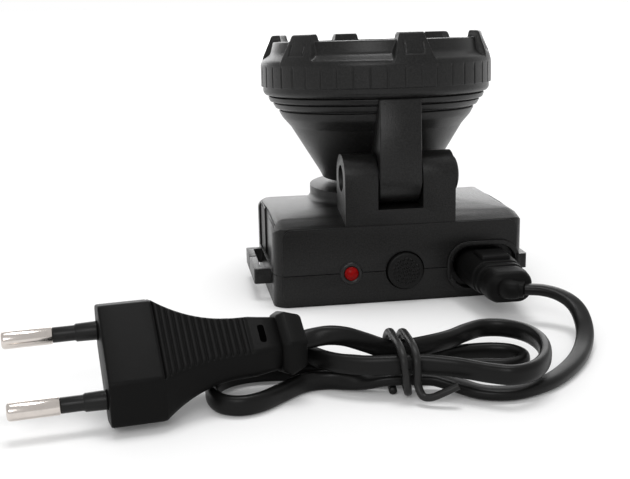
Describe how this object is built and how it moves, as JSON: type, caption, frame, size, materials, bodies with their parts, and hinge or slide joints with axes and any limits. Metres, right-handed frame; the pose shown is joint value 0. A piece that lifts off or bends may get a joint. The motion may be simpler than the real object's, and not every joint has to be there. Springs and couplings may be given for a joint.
{
  "type": "miner's cap lamp",
  "caption": "Rechargeable miner's head lamp: a round LED lamp head hinged on a battery case with strap loops, and its tied-up mains charging lead.",
  "frame": {"origin": "centre of the case's flat back face, on the surface it rests on", "axes": "+Z away from the back face towards the lens, +X to the right seen from the front, -Y out through the front panel with the button and the charging inlet"},
  "size_m": [0.1493, 0.1573, 0.0792],
  "materials": {
    "black_plastic": "matte moulded ABS",
    "rubber_button": "matte",
    "soft_pvc": "semi-gloss PVC",
    "dark_plastic": "satin",
    "red_lens": "clear red",
    "clear_lens": "polished clear",
    "reflector_metal": "vacuum metallised",
    "nickel": "plated",
    "steel": "zinc plated",
    "aluminium": "machined",
    "brass": "plain",
    "board_green": "satin",
    "board_white": "gloss",
    "phosphor": "silicone",
    "cell_wrap": "shrink wrap"
  },
  "bodies": {
    "case": {"front_shell": "black_plastic", "back_cover": "black_plastic", "case_screws": "steel", "battery_cell": "cell_wrap", "battery_tabs": "nickel", "charger_board": "board_green", "board_parts": "dark_plastic", "switch_body": "dark_plastic", "led_ring": "dark_plastic", "charge_led": "red_lens", "inlet_socket": "black_plastic", "inlet_pins": "nickel", "pivot_bolt": "black_plastic", "pivot_nut": "steel", "friction_washers": "steel"},
    "lamp_head": {"lamp_housing": "black_plastic", "heat_sink": "aluminium", "led_board": "board_white", "led_emitter": "phosphor", "board_screws": "steel", "reflector": "reflector_metal", "lens": "clear_lens", "lens_gasket": "rubber_button"},
    "bezel": {"bezel_ring": "black_plastic"},
    "button": {"mode_button": "rubber_button", "switch_plunger": "dark_plastic"},
    "mains_lead": {"connector_grip": "soft_pvc", "connector_nose": "dark_plastic", "connector_contacts": "brass", "lead_cord": "soft_pvc", "cord_hank": "soft_pvc", "cord_tie": "soft_pvc", "plug_body": "soft_pvc", "plug_pins": "nickel", "pin_sleeves": "dark_plastic"}
  },
  "joints": [
    {"name": "head_tilt", "type": "hinge", "parent": "case", "child": "lamp_head", "pos_m": [0, -0.0173, 0.0369], "axis": [1, 0, 0], "range_deg": [0, 90]},
    {"name": "bezel_turn", "type": "hinge", "parent": "lamp_head", "child": "bezel", "pos_m": [0, 0.01084, 0.0648], "axis": [0, 0.0436, 0.999], "continuous": true},
    {"name": "button_press", "type": "slide", "parent": "case", "child": "button", "axis": [0, 1, 0], "range_m": [0, 0.001], "stiffness_N_per_m": 600, "springref_m": -0.0005},
    {"name": "lead_unplug", "type": "slide", "parent": "case", "child": "mains_lead", "axis": [0, -1, 0], "range_m": [0, 0.02]}
  ]
}
